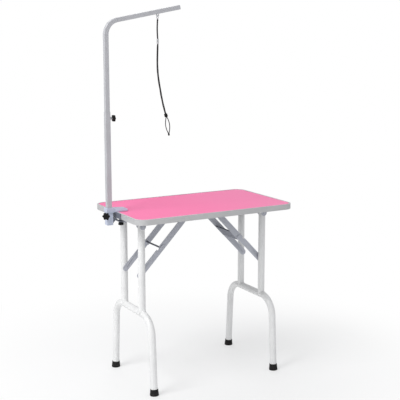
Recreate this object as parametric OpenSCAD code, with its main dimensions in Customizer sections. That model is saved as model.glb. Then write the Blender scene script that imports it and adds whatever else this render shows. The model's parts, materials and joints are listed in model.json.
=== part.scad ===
// Folding grooming table with a clamp-on overhead arm and a restraint noose.
// Millimetres, +Z up. The origin is on the floor under the middle of the tabletop.
// +X runs along the tabletop away from the arm, and +Y runs towards the back.
// The left side (-X) is modelled, and the right side is its mirror image.

/* [Tabletop] */
// Length of the tabletop over its trim
top_l = 812; // [780:1:850]
// Width of the tabletop over its trim
top_w = 482; // [470:1:560]
// Height of the trim's top edge above the floor
top_h = 815; // [800:1:840]
// Height of the trim
trim_h = 25.4; // [24:0.1:28]
// Radius of the tabletop's corners
corner_r = 48; // [40:1:60]
// Wall thickness of the trim's outer face
trim_t = 2.5; // [2:0.1:3]
// Thickness of the trim's lips
lip_t = 1.2; // [1:0.1:1.5]
// Width of the lip that holds the mat down
top_lip = 5; // [4:0.5:7]
// Width of the lip under the board
bottom_lip = 10; // [8:0.5:11]
// Thickness of the rubber mat
mat_t = 2.4; // [2:0.1:3]

/* [Legs] */
// Outside diameter of the leg tube
tube_d = 32; // [30:0.5:33]
// Wall thickness of the leg tube
tube_wall = 1.5; // [1.2:0.1:2]
// Distance of each leg frame from the middle of the table
leg_x = 322; // [315:1:330]
// Distance of the upper tubes from the middle of the table
upper_tube_y = 92.5; // [90:0.5:96]
// Height of the crossbar's centreline
crossbar_z = 350; // [340:1:360]
// Where the bend at each end of the crossbar starts
bend_y = 102.4; // [101:0.1:104]
// Radius of the bend's centreline
bend_r = 89; // [85:1:95]
// Outward lean of the lower legs
lean = 3.63; // [3:0.01:4.5]
// Height of the hinge pins
hinge_z = 756; // [752:1:758]
// Length of tube above the hinge pin
tube_top = 18; // [16:1:20]

/* [Feet] */
// Height of the rubber cap
foot_h = 30; // [26:1:36]
// Radius of the cap at its mouth
foot_top_r = 18.2; // [17.6:0.1:18.6]
// Radius of the cap near the floor
foot_r = 20.6; // [19.5:0.1:21.5]
// Thickness of rubber under the tube
foot_sole = 6; // [4:0.5:8]
// Height of the white ring above the cap
ring_h = 5; // [4:0.5:8]

/* [Braces] */
// Distance of the lower pivot below the hinge pin
brace_drop = 232; // [228:1:236]
// Distance of the upper pivot from the middle of the table
brace_top_x = 80; // [78:1:84]
// Height of the upper pivot
brace_top_z = 775; // [773:0.5:775.5]
// Thickness of the flat brace bars
bar_t = 3; // [2.5:0.1:3]
// Length of the lower bar between its pivots
lower_len = 168; // [164:1:172]
// Half of the upper bar's depth
upper_half_d = 14.5; // [13.5:0.1:14.6]
// Reach of the lower bar above the line through its pivots
lower_top = 15; // [14:0.1:15.2]
// Reach of the lower bar below the line through its pivots
lower_bottom = 12.8; // [12:0.1:13.5]
// Length of the upper bar beyond the knee
knee_overlap = 18; // [16:1:20]

/* [Clamp and post] */
// Distance of the post's axis from the middle of the table
post_x = 436; // [434:1:440]
// Side of the square lower post
post_w = 22; // [21:0.5:24]
// Side of the square upper arm
arm_w = 19; // [18:0.5:19]
// Wall thickness of both square tubes
post_wall = 1.2; // [1:0.1:1.3]
// Height of the lower post's bottom end
post_z0 = 757; // [755:1:765]
// Height of the lower post's top end
post_z1 = 1262; // [1240:1:1280]
// Width of the clamp's jaws
jaw_w = 34; // [32:1:38]
// Thickness of the upper jaw's plate
jaw_t = 6; // [4:0.5:7]
// Height of the clamp's collar above the tabletop
collar_h = 20; // [16:1:24]
// Distance of the upper jaw's tip from the middle of the table
jaw_tip_x = 349; // [345:1:365]
// Distance of the clamp screw from the middle of the table
screw_x = 378; // [376:1:379]

/* [Arm] */
// Height where the arm's bend starts
bend_z = 1594; // [1580:1:1610]
// Radius of the bend's centreline
arm_bend_r = 65; // [55:1:75]
// Upward slope of the arm's reach
arm_slope = 10.65; // [8:0.05:13]
// Distance of the arm's free end from the middle of the table
arm_tip_x = 76; // [60:1:90]
// Length of arm inside the post
arm_overlap = 150; // [120:1:180]
// Height of the arm lock's screw
arm_lock_z = 1233; // [1220:1:1240]

/* [Noose] */
// Distance of the noose from the middle of the table
noose_x = 184.5; // [175:0.5:195]
// Radius of each cord strand
strand_r = 2; // [1.8:0.1:2]
// Radius of the hanger cord
hanger_r = 3.3; // [2.6:0.1:3.4]
// Height where the cords start to curve
curve_z = 1484; // [1470:1:1495]
// Radius of the cords' curve
curve_r = 820; // [780:10:860]
// Angle that the cords' curve turns through
curve_angle = 18.4; // [17:0.1:19]

/* [Hidden] */
$fn = 72;

// Colours
pink = "#f580b1";
trim_grey = "#bcbcbd";
board_black = "#3a3a3c";
leg_white = "#f2f2f2";
brace_grey = "#989ba4";
dark_grey = "#65676f";
clamp_blue = "#a9b1c6";
arm_grey = "#b0b1b7";
bright_steel = "#d0d2d6";
rubber_black = "#191818";

// Levels of the tabletop
trim_z0 = top_h - trim_h;
mat_z1 = top_h - lip_t;
board_z1 = mat_z1 - mat_t;
board_z0 = trim_z0 + lip_t;

// Leg tube and its wishbone
tube_r = tube_d / 2;
bore_r = tube_r - tube_wall;
lean_turn = 90 - lean;
leg_start_y = bend_y + bend_r * sin(lean_turn);
leg_start_z = crossbar_z - bend_r + bend_r * cos(lean_turn);
leg_run = leg_start_z / cos(lean);
foot_y = leg_start_y + leg_start_z * tan(lean);
big = 200;
seam = 0.01;
slip = 0.03;

// Hinge brackets
plate_t = 2.5;
ear_gap = tube_r + 1;
ear_out = ear_gap + plate_t;
ear_half_w = 18.5;
ear_r = 14.6;
base_half_l = 36;
hinge_pin_r = 4;
running = 0.05;
rivet_head_r = 7;
rivet_head_h = 1.8;

// Bracket screws
screw_r = 1.5;
screw_head_r = 3.4;
screw_head_h = 2.4;
screw_len = 14;
hinge_screw_x = 27;
hinge_screw_y = 11;
brace_screw_x = 21;

// Braces, laid out along the line from the lower pivot to the upper pivot
brace_run_x = leg_x - brace_top_x;
brace_run_z = brace_top_z - (hinge_z - brace_drop);
brace_len = sqrt(brace_run_x * brace_run_x + brace_run_z * brace_run_z);
brace_angle = atan2(brace_run_z, brace_run_x);
upper_end = lower_len - knee_overlap;
open_pivot_gap = 0.3;
bar_gap = 0.1;
lower_y1 = upper_tube_y - tube_r - open_pivot_gap;
lower_y0 = lower_y1 - bar_t;
upper_y1 = lower_y0 - bar_gap;
upper_y0 = upper_y1 - bar_t;
brace_y = (upper_y0 + upper_y1) / 2;
upper_end_r = 12.3;
taper_len = 40;
notch_s = upper_end - 12;
notch_top = 8;
pivot_r = 4;
pivot_head_r = 6;
pivot_head_h = 1.2;
brace_plate_t = 2;
brace_base_half_w = 12;
brace_ear_gap = bar_t / 2 + 0.4;
brace_ear_out = brace_ear_gap + brace_plate_t;
tie_rod_r = 4;
tie_rod_at = lower_len - 10;
tie_rod_up = 4;
tie_plate_from = 160;
tie_plate_len = 62;
tie_plate_t = 2;

// Clamp and post
post_half = post_w / 2;
arm_half = arm_w / 2;
sleeve_in = post_half + 0.3;
sleeve_half = 14;
collar_z0 = top_h - 1;
collar_z1 = top_h + collar_h;
back_plate_t = 4;
back_half_w = 64;
edge_x = top_l / 2;
clamp_screw_r = 4;
pad_r = 13;
pad_h = 4;
pad_socket = 2;
pad_z0 = board_z0 - pad_h;
jaw_tab_z = 773;
lower_jaw_t = 6;
jaw_peak_z = trim_z0 - 0.8;
jaw_peak_at = 12;
jaw_dip = 7;
jaw_curve_l = 32;
jaw_root_extra = 9;
screw_boss_r = 8;
screw_boss_h = 3;
knob_cap_t = 3;
clamp_knob_r = 13;
clamp_knob_h = 13;
clamp_knob_z1 = jaw_tab_z - lower_jaw_t - screw_boss_h - 0.4;
post_lock_z = 802;
post_lock_turn = 225;
lock_knob_r = 17.5;
lock_knob_h = 11;
arm_knob_r = 15.5;
end_plug_t = 2;

// Arm
turn = 90 - arm_slope;
tangent = arm_bend_r * tan(turn / 2);
corner_z = bend_z + tangent;
reach = (post_x - arm_tip_x) / cos(arm_slope);
eye_z = 1680;
eye_plate_t = 3;
eye_r = 7;
eye_hole_r = 4;
ring_r = 7;
ring_wire = 1.75;
swing_z = eye_z - 2;
ring_z = swing_z - ring_r;
ferrule_z1 = 1577;
ferrule_z0 = 1554;
ferrule_r = 4.8;
strand_gap = 4.2;
knot_r = 2.5;
knot_in = 1;
slider_bore = 4.9;
slider_wall = 2.8;
slider_up = 3;
loop_len = 72;
loop_bulge = 8;
loop_tilt = 8;
slider_h = 14;
clasp_h = 12;
clasp_r = 4.4;
clasp_gap = 0.8;

// A plate with round corners, standing on z0
module rounded_plate(l, w, r, z0, z1) {
  translate([0, 0, z0]) linear_extrude(z1 - z0) {
    square([l - 2 * r, w], center = true);
    square([l, w - 2 * r], center = true);
    for (sx = [-1, 1], sy = [-1, 1])
      translate([sx * (l / 2 - r), sy * (w / 2 - r)]) circle(r);
  }
}

// A flat shape drawn in X and Z, made solid from y0 to y1
module across(y0, y1) {
  translate([0, y1, 0]) rotate([90, 0, 0]) linear_extrude(y1 - y0) children();
}

// The same thing at +Y and at -Y
module front_and_back() {
  children();
  mirror([0, 1, 0]) children();
}

// A cylinder along Y from y0 to y1, through x and z
module pin_y(x, z, r, y0, y1) {
  translate([x, y0, z]) rotate([-90, 0, 0]) cylinder(r = r, h = y1 - y0);
}

// A pressed rivet head with a low dome, its flat side on the origin and facing -Z
module rivet_head(r, h) {
  rotate_extrude()
    polygon(concat([[0, 0], [r, 0]], [for (a = [0 : 15 : 90]) [r * cos(a), h * 0.4 + h * 0.6 * sin(a)]]));
}

// A rivet along Y with a head outside y0 and another outside y1
module rivet_y(x, z, r, y0, y1, head_r, head_h) {
  pin_y(x, z, r, y0, y1);
  translate([x, y1, z]) rotate([-90, 0, 0]) rivet_head(head_r, head_h);
  translate([x, y0, z]) rotate([90, 0, 0]) rivet_head(head_r, head_h);
}

// An ear that narrows from a wide top to a round end about the origin
module ear_shape(half_w, top, r) {
  reach_r = sqrt(half_w * half_w + top * top);
  a = atan2(top, half_w) - acos(r / reach_r);
  circle(r);
  polygon([[-half_w, top], [-r * cos(a), r * sin(a)], [r * cos(a), r * sin(a)], [half_w, top]]);
}

// A square tube standing on z0
module square_tube(half, wall, z0, z1) {
  difference() {
    translate([-half, -half, z0]) cube([2 * half, 2 * half, z1 - z0]);
    translate([wall - half, wall - half, z0 - 1])
      cube([2 * (half - wall), 2 * (half - wall), z1 - z0 + 2]);
  }
}

// A hand knob with six lobes round the origin, its top at height h
module lobed_knob(r, h, hole_r) {
  lobe_r = r * 0.3;
  difference() {
    union() {
      cylinder(r = r - lobe_r, h = h);
      for (i = [0 : 5]) rotate(60 * i) translate([r - lobe_r, 0, 0]) cylinder(r = lobe_r, h = h);
    }
    translate([0, 0, -1]) cylinder(r = hole_r, h = h - knob_cap_t + 1);
  }
}

// ---- Tabletop ----

module hinge_screw_places() {
  for (sx = [-1, 1], sy = [-1, 1])
    translate([hinge_screw_x * sx - leg_x, upper_tube_y + hinge_screw_y * sy, board_z0 - plate_t])
      children();
}

module brace_screw_places() {
  for (sx = [-1, 1])
    translate([brace_screw_x * sx - brace_top_x, brace_y, board_z0 - brace_plate_t]) children();
}

module all_screw_places() {
  for (side = [0, 1]) mirror([side, 0, 0]) front_and_back() {
    hinge_screw_places() children();
    brace_screw_places() children();
  }
}

module tabletop_board() {
  color(board_black) difference() {
    rounded_plate(top_l - 2 * trim_t, top_w - 2 * trim_t, corner_r - trim_t, board_z0, board_z1);
    all_screw_places() cylinder(r = screw_r + running, h = screw_len + 1);
  }
}

module top_mat() {
  color(pink)
    rounded_plate(top_l - 2 * trim_t, top_w - 2 * trim_t, corner_r - trim_t, board_z1, mat_z1);
}

module edge_trim() {
  top_in = trim_t + top_lip;
  bottom_in = trim_t + bottom_lip;
  color(trim_grey) difference() {
    rounded_plate(top_l, top_w, corner_r, trim_z0, top_h);
    rounded_plate(top_l - 2 * trim_t, top_w - 2 * trim_t, corner_r - trim_t, board_z0, mat_z1);
    rounded_plate(top_l - 2 * top_in, top_w - 2 * top_in, corner_r - top_in, mat_z1 - 1, top_h + 1);
    rounded_plate(top_l - 2 * bottom_in, top_w - 2 * bottom_in, corner_r - bottom_in,
                  trim_z0 - 1, board_z0 + 1);
  }
}

module bracket_screws() {
  color(bright_steel) all_screw_places() {
    cylinder(r = screw_r, h = screw_len);
    mirror([0, 0, 1]) rivet_head(screw_head_r, screw_head_h);
  }
}

// ---- Brackets that stay on the tabletop ----

module hinge_brackets() {
  color(brace_grey) front_and_back() difference() {
    union() {
      translate([-leg_x - base_half_l, upper_tube_y - ear_out, board_z0 - plate_t])
        cube([2 * base_half_l, 2 * ear_out, plate_t]);
      for (side = [0, 1])
        translate([-leg_x, upper_tube_y, hinge_z]) mirror([0, side, 0])
          across(ear_gap, ear_out) ear_shape(ear_half_w, board_z0 - hinge_z, ear_r);
    }
    pin_y(-leg_x, hinge_z, hinge_pin_r + running / 2, upper_tube_y - big, upper_tube_y + big);
    hinge_screw_places() translate([0, 0, -1]) cylinder(r = screw_r + running, h = plate_t + 2);
  }
}

module left_hinge_brackets() { hinge_brackets(); }
module right_hinge_brackets() { mirror([1, 0, 0]) hinge_brackets(); }

module hinge_pins() {
  color(brace_grey) front_and_back()
    rivet_y(-leg_x, hinge_z, hinge_pin_r, upper_tube_y - ear_out, upper_tube_y + ear_out,
            rivet_head_r, plate_t);
}

module left_hinge_pins() { hinge_pins(); }
module right_hinge_pins() { mirror([1, 0, 0]) hinge_pins(); }

module brace_brackets() {
  base_half_l = 28;
  ear_half_w = 12;
  ear_end_r = 9;
  through = brace_ear_out + 1;
  color(brace_grey) front_and_back() difference() {
    union() {
      translate([-brace_top_x - base_half_l, brace_y - brace_base_half_w, board_z0 - brace_plate_t])
        cube([2 * base_half_l, 2 * brace_base_half_w, brace_plate_t]);
      for (side = [0, 1])
        translate([-brace_top_x, brace_y, brace_top_z]) mirror([0, side, 0])
          across(brace_ear_gap, brace_ear_out) ear_shape(ear_half_w, board_z0 - brace_top_z, ear_end_r);
    }
    pin_y(-brace_top_x, brace_top_z, pivot_r + running / 2, brace_y - through, brace_y + through);
    brace_screw_places() translate([0, 0, -1]) cylinder(r = screw_r + running, h = brace_plate_t + 2);
  }
}

module left_brace_brackets() { brace_brackets(); }
module right_brace_brackets() { mirror([1, 0, 0]) brace_brackets(); }

module brace_pivots() {
  color(brace_grey) front_and_back()
    rivet_y(-brace_top_x, brace_top_z, pivot_r, brace_y - brace_ear_out, brace_y + brace_ear_out,
            pivot_head_r, pivot_head_h);
}

module left_brace_pivots() { brace_pivots(); }
module right_brace_pivots() { mirror([1, 0, 0]) brace_pivots(); }

// ---- Leg frames ----

// The cross-section of a round tube
module tube_ring() {
  difference() {
    circle(tube_r);
    circle(bore_r);
  }
}

// One bent tube: the crossbar, a bend at each end and the two lower legs, with hairline seams between them
module wishbone() {
  translate([-leg_x, bend_y - seam, crossbar_z]) rotate([90, 0, 0])
    linear_extrude(2 * (bend_y - seam)) tube_ring();
  front_and_back() {
    translate([-leg_x, bend_y, crossbar_z - bend_r]) rotate([90, 0, 90]) rotate([0, 0, lean])
      rotate_extrude(angle = lean_turn) translate([bend_r, 0]) tube_ring();
    translate([-leg_x, leg_start_y, leg_start_z]) rotate([180 + lean, 0, 0]) translate([0, 0, seam])
      linear_extrude(leg_run - foot_sole - seam) tube_ring();
  }
}

// The upper tubes are coped over the crossbar
module upper_tubes() {
  front_and_back() difference() {
    translate([-leg_x, upper_tube_y, crossbar_z]) linear_extrude(hinge_z + tube_top - crossbar_z) tube_ring();
    pin_y(-leg_x, crossbar_z, tube_r + seam, 0, big);
    pin_y(-leg_x, hinge_z, hinge_pin_r + running, upper_tube_y - tube_d, upper_tube_y + tube_d);
  }
}

module leg_frame() {
  color(leg_white) {
    wishbone();
    upper_tubes();
  }
}

module left_leg_frame() { leg_frame(); }
module right_leg_frame() { mirror([1, 0, 0]) leg_frame(); }

// Places on the axis of each lower leg, at a distance up the leg from the floor
module leg_ends(up) {
  front_and_back() translate([-leg_x, foot_y, 0]) rotate([lean, 0, 0]) translate([0, 0, up]) children();
}

module rubber_feet() {
  under = 1.6;
  round_r = 2.4;
  side_z = 5;
  lip_h = 1;
  lip_in = 0.8;
  color(rubber_black) difference() {
    leg_ends(0) rotate_extrude() polygon(concat(
      [[0, -under]],
      [for (a = [-90 : 15 : 0])
        [foot_r - round_r + round_r * cos(a), round_r - under + round_r * sin(a)]],
      [[foot_r, side_z], [foot_top_r, foot_h - lip_h], [foot_top_r - lip_in, foot_h], [0, foot_h]]));
    leg_ends(foot_sole) cylinder(r = tube_r + slip, h = foot_h);
    translate([-2 * big - leg_x, -2 * big, -big]) cube([4 * big, 4 * big, big]);
  }
}

module left_rubber_feet() { rubber_feet(); }
module right_rubber_feet() { mirror([1, 0, 0]) rubber_feet(); }

module leg_rings() {
  ring_wall = 1.2;
  ring_gap = 0.5;
  color(leg_white) leg_ends(foot_h + ring_gap) difference() {
    cylinder(r = tube_r + ring_wall, h = ring_h);
    translate([0, 0, -1]) cylinder(r = tube_r + slip, h = ring_h + 2);
  }
}

module left_leg_rings() { leg_rings(); }
module right_leg_rings() { mirror([1, 0, 0]) leg_rings(); }

// ---- Folding braces ----

// Lays a brace along its line. X runs from the lower pivot to the upper pivot, and +Z faces the hinge.
module on_brace_line() {
  front_and_back() translate([-leg_x, 0, hinge_z - brace_drop]) rotate([0, -brace_angle, 0]) children();
}

module upper_braces() {
  corner = 2.5;
  full_to = brace_len - taper_len;
  color(brace_grey) on_brace_line() difference() {
    across(upper_y0, upper_y1) {
      polygon([[upper_end, corner - upper_half_d], [upper_end + corner, -upper_half_d],
               [full_to, -upper_half_d], [brace_len, -upper_end_r], [brace_len, upper_end_r],
               [full_to, upper_half_d], [upper_end + corner, upper_half_d],
               [upper_end, upper_half_d - corner]]);
      translate([brace_len, 0]) circle(upper_end_r);
    }
    pin_y(lower_len, 0, pivot_r + running / 2, upper_y0 - 1, upper_y1 + 1);
    pin_y(brace_len, 0, pivot_r + running, upper_y0 - 1, upper_y1 + 1);
  }
}

module left_upper_braces() { upper_braces(); }
module right_upper_braces() { mirror([1, 0, 0]) upper_braces(); }

// The lower bar lies outside the upper one, and its top edge is cut back near the knee
module lower_braces() {
  knee_r = (notch_top + lower_bottom) / 2;
  end_r = (lower_top + lower_bottom) / 2;
  color(brace_grey) on_brace_line() difference() {
    across(lower_y0, lower_y1) {
      translate([0, end_r - lower_bottom]) circle(end_r);
      translate([0, -lower_bottom]) square([notch_s, 2 * end_r]);
      translate([notch_s - 1, -lower_bottom]) square([lower_len - notch_s + 1, 2 * knee_r]);
      translate([lower_len, knee_r - lower_bottom]) circle(knee_r);
    }
    pin_y(0, 0, pivot_r + running / 2, lower_y0 - 1, lower_y1 + 1);
    pin_y(lower_len, 0, pivot_r + running, lower_y0 - 1, lower_y1 + 1);
  }
}

module left_lower_braces() { lower_braces(); }
module right_lower_braces() { mirror([1, 0, 0]) lower_braces(); }

// A rivet through a brace, with its head on the inner side and its outer end flush, to clear the leg tube
module flush_rivet(x, y0, y1, r, h) {
  pin_y(x, 0, pivot_r, y0, y1);
  translate([x, y0, 0]) rotate([90, 0, 0]) rivet_head(r, h);
}

module knee_rivets() {
  color(brace_grey) on_brace_line() flush_rivet(lower_len, upper_y0, lower_y1, pivot_head_r, pivot_head_h);
}

module left_knee_rivets() { knee_rivets(); }
module right_knee_rivets() { mirror([1, 0, 0]) knee_rivets(); }

// These rivets stop just short of the leg tube, because this pivot is the open one of the linkage
module leg_rivets() {
  color(brace_grey) on_brace_line() flush_rivet(0, lower_y0, lower_y1, rivet_head_r, rivet_head_h);
}

module left_leg_rivets() { leg_rivets(); }
module right_leg_rivets() { mirror([1, 0, 0]) leg_rivets(); }

module left_tie_rod() {
  color(dark_grey) translate([-leg_x, 0, hinge_z - brace_drop]) rotate([0, -brace_angle, 0])
    pin_y(tie_rod_at, tie_rod_up, tie_rod_r, -upper_y0, upper_y0);
}

module right_tie_plate() {
  lip = 6;
  color(dark_grey) mirror([1, 0, 0])
    translate([-leg_x, 0, hinge_z - brace_drop]) rotate([0, -brace_angle, 0])
    translate([tie_plate_from, 0, -upper_half_d]) {
      translate([0, -upper_y0, 0]) cube([tie_plate_len, 2 * upper_y0, tie_plate_t]);
      for (x = [0, tie_plate_len - tie_plate_t])
        translate([x, -upper_y0, 0]) cube([tie_plate_t, 2 * upper_y0, lip]);
    }
}

// ---- Clamp ----

module at_post() {
  translate([-post_x, 0, 0]) children();
}

// The ridge on the upper jaw: sloping sides, and a top that falls towards the tip
module jaw_ridge() {
  base_half = 15.5;
  top_half = 10;
  from = -post_x + jaw_w / 2 - 1;
  end = -jaw_tip_x - 3;
  shoulder_x = end - 11;
  shoulder_z = top_h + 15;
  end_z = top_h + 11;
  intersection() {
    across(-jaw_w, jaw_w)
      polygon([[from, top_h + jaw_t - 1], [from, collar_z1 - 1], [shoulder_x, shoulder_z], [end, end_z],
               [end, top_h + jaw_t - 1]]);
    translate([from - 1, 0, 0]) rotate([90, 0, 90]) linear_extrude(end - from + 2)
      polygon([[-base_half, top_h + jaw_t - 2], [base_half, top_h + jaw_t - 2], [base_half, top_h + jaw_t],
               [top_half, collar_z1], [-top_half, collar_z1], [-base_half, top_h + jaw_t]]);
  }
}

module clamp_body() {
  plate_l = post_x + jaw_w / 2 - jaw_tip_x;
  tip_r = 5;
  color(clamp_blue) difference() {
    union() {
      translate([-post_x - jaw_w / 2, -jaw_w / 2, top_h]) cube([plate_l - tip_r, jaw_w, jaw_t]);
      translate([-jaw_tip_x - tip_r - 1, tip_r - jaw_w / 2, top_h])
        cube([tip_r + 1, jaw_w - 2 * tip_r, jaw_t]);
      for (sy = [-1, 1])
        translate([-jaw_tip_x - tip_r, sy * (jaw_w / 2 - tip_r), top_h]) cylinder(r = tip_r, h = jaw_t);
      jaw_ridge();
      translate([-post_x - jaw_w / 2, -jaw_w / 2, collar_z0]) cube([jaw_w, jaw_w, collar_z1 - collar_z0]);
    }
    translate([-post_x - sleeve_in, -sleeve_in, collar_z0 - 1])
      cube([2 * sleeve_in, 2 * sleeve_in, collar_z1 - collar_z0 + 2]);
  }
}

// The plate under the upper jaw that bears on the tabletop's edge
module clamp_back_plate() {
  color(dark_grey) translate([-edge_x - back_plate_t, -back_half_w, trim_z0])
    cube([back_plate_t, 2 * back_half_w, trim_h]);
}

module clamp_sleeve() {
  color(clamp_blue) at_post() difference() {
    square_tube(sleeve_half, sleeve_half - sleeve_in, post_z0, collar_z0);
    translate([0, 0, post_lock_z]) rotate([0, 0, post_lock_turn]) rotate([0, 90, 0])
      cylinder(r = clamp_screw_r + running, h = 40);
  }
}

// A smooth fall from 1 to 0 while t goes from 0 to 1
function ease(t) = (1 + cos(180 * t)) / 2;

// Depth of the lower jaw at a distance x from the sleeve
function jaw_depth(x) = lower_jaw_t + jaw_root_extra * ease(x / jaw_curve_l);

// Height of the lower jaw's upper face at a distance x from the sleeve
function jaw_face(x) =
  x < jaw_peak_at ? jaw_peak_z - jaw_dip * ease(x / jaw_peak_at)
  : jaw_tab_z + (jaw_peak_z - jaw_tab_z) * ease((x - jaw_peak_at) / (jaw_curve_l - jaw_peak_at));

module clamp_lower_jaw() {
  start = post_x - sleeve_half;
  end = start - screw_x + 14;
  steps = [for (x = [0 : 2 : jaw_curve_l]) x];
  jaw_half = 13;
  color(dark_grey) translate([-start, 0, 0]) difference() {
    union() {
      across(-jaw_half, jaw_half)
        polygon(concat([for (x = steps) [x, jaw_face(x)]],
                       [[end, jaw_tab_z], [end, jaw_tab_z - lower_jaw_t]],
                       [for (i = [len(steps) - 1 : -1 : 0])
                         [steps[i], jaw_face(steps[i]) - jaw_depth(steps[i])]]));
      translate([start - screw_x, 0, jaw_tab_z - lower_jaw_t - screw_boss_h])
        cylinder(r = screw_boss_r, h = screw_boss_h + 1);
    }
    translate([start - screw_x, 0, 0]) cylinder(r = clamp_screw_r + running, h = top_h);
  }
}

module clamp_pad() {
  neck_h = 2;
  neck_wall = 3;
  color(rubber_black) translate([-screw_x, 0, pad_z0]) difference() {
    union() {
      cylinder(r = pad_r, h = pad_h);
      translate([0, 0, -neck_h]) cylinder(r = clamp_screw_r + neck_wall, h = neck_h + 1);
    }
    translate([0, 0, -neck_h - 1]) cylinder(r = clamp_screw_r + running, h = neck_h + 1 + pad_socket);
  }
}

module clamp_screw() {
  z0 = clamp_knob_z1 - clamp_knob_h + knob_cap_t;
  z1 = pad_z0 + pad_socket - 0.1;
  color(bright_steel) translate([-screw_x, 0, z0]) cylinder(r = clamp_screw_r, h = z1 - z0);
}

module clamp_screw_knob() {
  color(rubber_black) translate([-screw_x, 0, clamp_knob_z1]) rotate([180, 0, 0])
    lobed_knob(clamp_knob_r, clamp_knob_h, clamp_screw_r);
}

// Turns X to point away from the post through the sleeve's front left corner
module at_post_lock() {
  at_post() translate([0, 0, post_lock_z]) rotate([0, 0, post_lock_turn]) rotate([0, 90, 0]) children();
}

post_corner = post_half * sqrt(2);
boss_r = 8;
boss_end = 26;
lock_knob_at = 29;
screw_in_knob = 8;

module post_lock_boss() {
  color(clamp_blue) difference() {
    at_post_lock() translate([0, 0, sleeve_half]) cylinder(r = boss_r, h = boss_end - sleeve_half);
    at_post() translate([-sleeve_half, -sleeve_half, 0]) cube([2 * sleeve_half, 2 * sleeve_half, top_h]);
    at_post_lock() cylinder(r = clamp_screw_r + running, h = 60);
  }
}

module post_lock_screw() {
  color(bright_steel) at_post_lock() translate([0, 0, post_corner + 0.1])
    cylinder(r = clamp_screw_r, h = lock_knob_at + screw_in_knob - post_corner - 0.1);
}

module post_lock_knob() {
  color(rubber_black) at_post_lock() translate([0, 0, lock_knob_at])
    lobed_knob(lock_knob_r, lock_knob_h, clamp_screw_r);
}

// ---- Post and arm ----

module at_arm_lock() {
  at_post() translate([0, 0, arm_lock_z]) rotate([0, 90, 0]) children();
}

module lower_post() {
  color(arm_grey) difference() {
    at_post() square_tube(post_half, post_wall, post_z0 + end_plug_t, post_z1);
    at_arm_lock() cylinder(r = clamp_screw_r + running, h = post_w);
  }
}

module post_end_plug() {
  depth = 14;
  plug_half = post_half - post_wall;
  color(rubber_black) at_post() {
    translate([-post_half, -post_half, post_z0]) cube([post_w, post_w, end_plug_t]);
    translate([-plug_half, -plug_half, post_z0 + end_plug_t - 1])
      cube([2 * plug_half, 2 * plug_half, depth + 1]);
  }
}

arm_knob_at = 24;
arm_knob_h = 12;

module arm_lock_nut() {
  nut_h = 6;
  color(arm_grey) at_arm_lock() translate([0, 0, post_half]) difference() {
    cylinder(r = boss_r, h = nut_h);
    translate([0, 0, -1]) cylinder(r = clamp_screw_r + running, h = nut_h + 2);
  }
}

module arm_lock_screw() {
  from = arm_half + 0.1;
  color(bright_steel) at_arm_lock() translate([0, 0, from])
    cylinder(r = clamp_screw_r, h = arm_knob_at + screw_in_knob + 1 - from);
}

module arm_lock_knob() {
  color(rubber_black) at_arm_lock() translate([0, 0, arm_knob_at])
    lobed_knob(arm_knob_r, arm_knob_h, clamp_screw_r);
}

// The cross-section of the arm's square tube
module arm_ring() {
  difference() {
    square(arm_w, center = true);
    square(arm_w - 2 * post_wall, center = true);
  }
}

// Puts X along the arm's reach, starting where its line meets the post's axis
module on_reach() {
  at_post() translate([0, 0, corner_z]) rotate([0, -arm_slope, 0]) children();
}

// The arm's tube: the straight part in the post, the bend and the reach, with hairline seams between them
module upper_arm() {
  color(arm_grey) {
    at_post() {
      translate([0, 0, post_z1 - arm_overlap])
        linear_extrude(bend_z - post_z1 + arm_overlap - seam) arm_ring();
      translate([arm_bend_r, 0, bend_z]) rotate([90, 0, 0]) rotate([0, 0, 180 - turn])
        rotate_extrude(angle = turn) translate([arm_bend_r, 0]) arm_ring();
    }
    on_reach() translate([tangent + seam, 0, 0]) rotate([0, 90, 0])
      linear_extrude(reach - tangent - seam) arm_ring();
  }
}

module arm_end_plug() {
  depth = 14;
  plug_half = arm_half - post_wall;
  color(arm_grey) on_reach() {
    translate([reach, -arm_half, -arm_half]) cube([end_plug_t, arm_w, arm_w]);
    translate([reach - depth, -plug_half, -plug_half]) cube([depth + 1, 2 * plug_half, 2 * plug_half]);
  }
}

// Height of the arm's underside above the noose
arm_under_z = corner_z + (post_x - noose_x) * tan(arm_slope) - arm_half / cos(arm_slope);

module arm_eye() {
  color(bright_steel) difference() {
    across(-eye_plate_t / 2, eye_plate_t / 2) translate([-noose_x, eye_z]) {
      circle(eye_r);
      translate([-eye_r, 0]) square([2 * eye_r, arm_under_z - eye_z + 3]);
    }
    on_reach() translate([0, -arm_half, -arm_half]) cube([reach, arm_w, arm_w]);
    pin_y(-noose_x, eye_z, eye_hole_r, -arm_half, arm_half);
  }
}

// ---- Noose ----

module at_noose(z) {
  translate([-noose_x, 0, z]) children();
}

module noose_ring() {
  color(bright_steel) at_noose(ring_z) rotate([0, 90, 0]) rotate_extrude()
    translate([ring_r, 0]) circle(ring_wire, $fn = 32);
}

module noose_hanger_cord() {
  top = ring_z - ring_r - ring_wire - 0.1;
  color(rubber_black) at_noose(ferrule_z1) cylinder(r = hanger_r, h = top - ferrule_z1);
}

module noose_ferrule() {
  color(bright_steel) at_noose(ferrule_z0) cylinder(r = ferrule_r, h = ferrule_z1 - ferrule_z0);
}

// Where the curve of the cords ends
curve_end_x = -noose_x + curve_r * (1 - cos(curve_angle));
curve_end_z = curve_z - curve_r * sin(curve_angle);

// The loop below the slider: X across the loop, -Z down it
module at_loop() {
  translate([curve_end_x, 0, curve_end_z]) rotate([0, -loop_tilt, 0]) children();
}

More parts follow.
